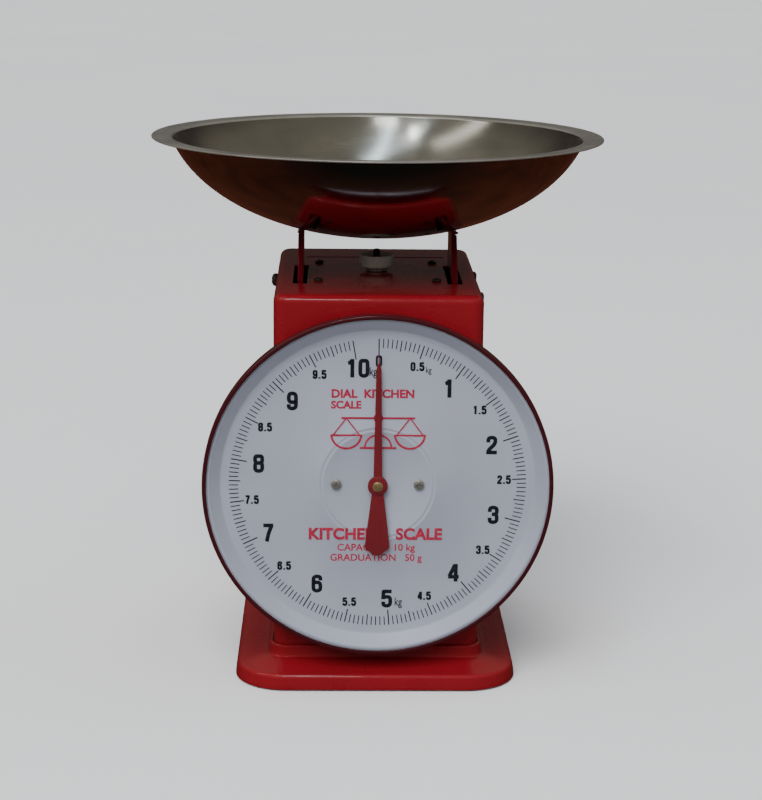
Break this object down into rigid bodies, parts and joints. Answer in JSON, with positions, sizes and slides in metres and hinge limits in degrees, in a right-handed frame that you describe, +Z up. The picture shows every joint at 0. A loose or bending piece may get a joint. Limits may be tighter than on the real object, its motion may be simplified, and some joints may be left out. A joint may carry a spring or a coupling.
{
  "type": "dial kitchen scale",
  "caption": "Mechanical dial kitchen scale: round stainless bowl on two posts over a red steel housing with a large round front dial, pointer, zero knob and stepped base.",
  "frame": {"origin": "on the ground under the bowl's centre, the centre of the bounding box's underside", "axes": "+Z up; -Y is the front, where the dial is; +X is to the right of someone facing the dial"},
  "size_m": [0.282, 0.282, 0.3265],
  "materials": {
    "red_paint": "gloss",
    "dark_red_paint": "gloss",
    "stainless": "polished",
    "zinc_steel": "satin",
    "dark_steel": "satin",
    "spring_steel": "satin",
    "brass": "satin",
    "white_enamel": "gloss",
    "cream_plastic": "satin",
    "rubber": "matte",
    "clear_acrylic": "clear"
  },
  "bodies": {
    "root": {"base_tray": "red_paint", "bottom_plate": "zinc_steel", "foot_front_left": "rubber", "foot_front_right": "rubber", "foot_rear_left": "rubber", "foot_rear_right": "rubber", "foot_screw_front_left": "zinc_steel", "foot_screw_front_right": "zinc_steel", "foot_screw_rear_left": "zinc_steel", "foot_screw_rear_right": "zinc_steel", "housing_shell": "red_paint", "side_screw_left": "dark_steel", "side_screw_right_front": "dark_steel", "side_screw_right_rear": "dark_steel", "rear_cover": "red_paint", "rear_screw_low_left": "zinc_steel", "rear_screw_low_right": "zinc_steel", "rear_screw_high_left": "zinc_steel", "rear_screw_high_right": "zinc_steel", "chassis_bracket": "zinc_steel", "chassis_screw_front_left": "dark_steel", "chassis_screw_front_right": "dark_steel", "chassis_screw_rear_left": "dark_steel", "chassis_screw_rear_right": "dark_steel", "upper_pivot_rod": "zinc_steel", "lower_pivot_rod": "zinc_steel", "zero_bush": "zinc_steel", "movement_front_plate": "brass", "movement_rear_plate": "brass", "movement_pillar_upper": "brass", "movement_pillar_lower": "brass", "rack_guide_pin": "zinc_steel", "dial_case": "red_paint", "dial_plate": "white_enamel", "dial_screw_left": "zinc_steel", "dial_screw_right": "zinc_steel", "dial_spacer_left": "zinc_steel", "dial_spacer_right": "zinc_steel", "bezel_ring": "dark_red_paint", "dial_lens": "clear_acrylic"},
    "platform": {"load_post_left": "dark_red_paint", "load_post_right": "dark_red_paint", "load_crossbar": "zinc_steel", "pan_saddle_left": "dark_red_paint", "pan_saddle_right": "dark_red_paint", "main_spring_left": "spring_steel", "main_spring_right": "spring_steel"},
    "bowl": {"bowl": "stainless"},
    "upper_lever": {"upper_link": "zinc_steel"},
    "lower_lever": {"lower_link": "zinc_steel"},
    "rack": {"rack": "zinc_steel", "rack_pin": "zinc_steel"},
    "indicator": {"pinion_arbor": "brass", "pointer": "red_paint", "pointer_nut": "brass"},
    "knob": {"zero_knob": "cream_plastic"},
    "zero_screw": {"zero_rod": "dark_steel", "spring_yoke": "zinc_steel"}
  },
  "joints": [
    {"name": "platform_travel", "type": "slide", "parent": "root", "child": "platform", "axis": [0, 0, -1], "range_m": [0, 0.0084], "stiffness_N_per_m": 11680, "springref_m": -0.001, "deforming": ["main_spring_left", "main_spring_right"]},
    {"name": "bowl_lift", "type": "slide", "parent": "platform", "child": "bowl", "axis": [0, 0, 1], "range_m": [0, 0.12]},
    {"name": "upper_lever_turn", "type": "hinge", "parent": "root", "child": "upper_lever", "pos_m": [0, 0.06, 0.178], "axis": [1, 0, 0], "range_deg": [0, 8.03]},
    {"name": "lower_lever_turn", "type": "hinge", "parent": "root", "child": "lower_lever", "pos_m": [0, 0.06, 0.108], "axis": [1, 0, 0], "range_deg": [0, 8.03]},
    {"name": "rack_travel", "type": "slide", "parent": "root", "child": "rack", "axis": [0, 0, -1], "range_m": [0, 0.0169]},
    {"name": "pointer_turn", "type": "hinge", "parent": "root", "child": "indicator", "pos_m": [0, -0.0893, 0.128], "axis": [0, 1, 0], "range_deg": [0, 350.1]},
    {"name": "zero_screw_shift", "type": "slide", "parent": "root", "child": "zero_screw", "axis": [0, 0, 1], "range_m": [-0.0008, 0.0008]},
    {"name": "zero_knob_turn", "type": "hinge", "parent": "root", "child": "knob", "pos_m": [0, 0, 0.2476], "axis": [0, 0, 1], "range_deg": [-361, 361]}
  ],
  "couplings": [
    {"joint": "upper_lever_turn", "follows": "platform_travel", "rad_per_m": 16.667},
    {"joint": "lower_lever_turn", "follows": "platform_travel", "rad_per_m": 16.667},
    {"joint": "rack_travel", "follows": "platform_travel", "ratio": 2},
    {"joint": "pointer_turn", "follows": "platform_travel", "rad_per_m": 727.27},
    {"joint": "zero_knob_turn", "follows": "zero_screw_shift", "rad_per_m": 7854}
  ]
}
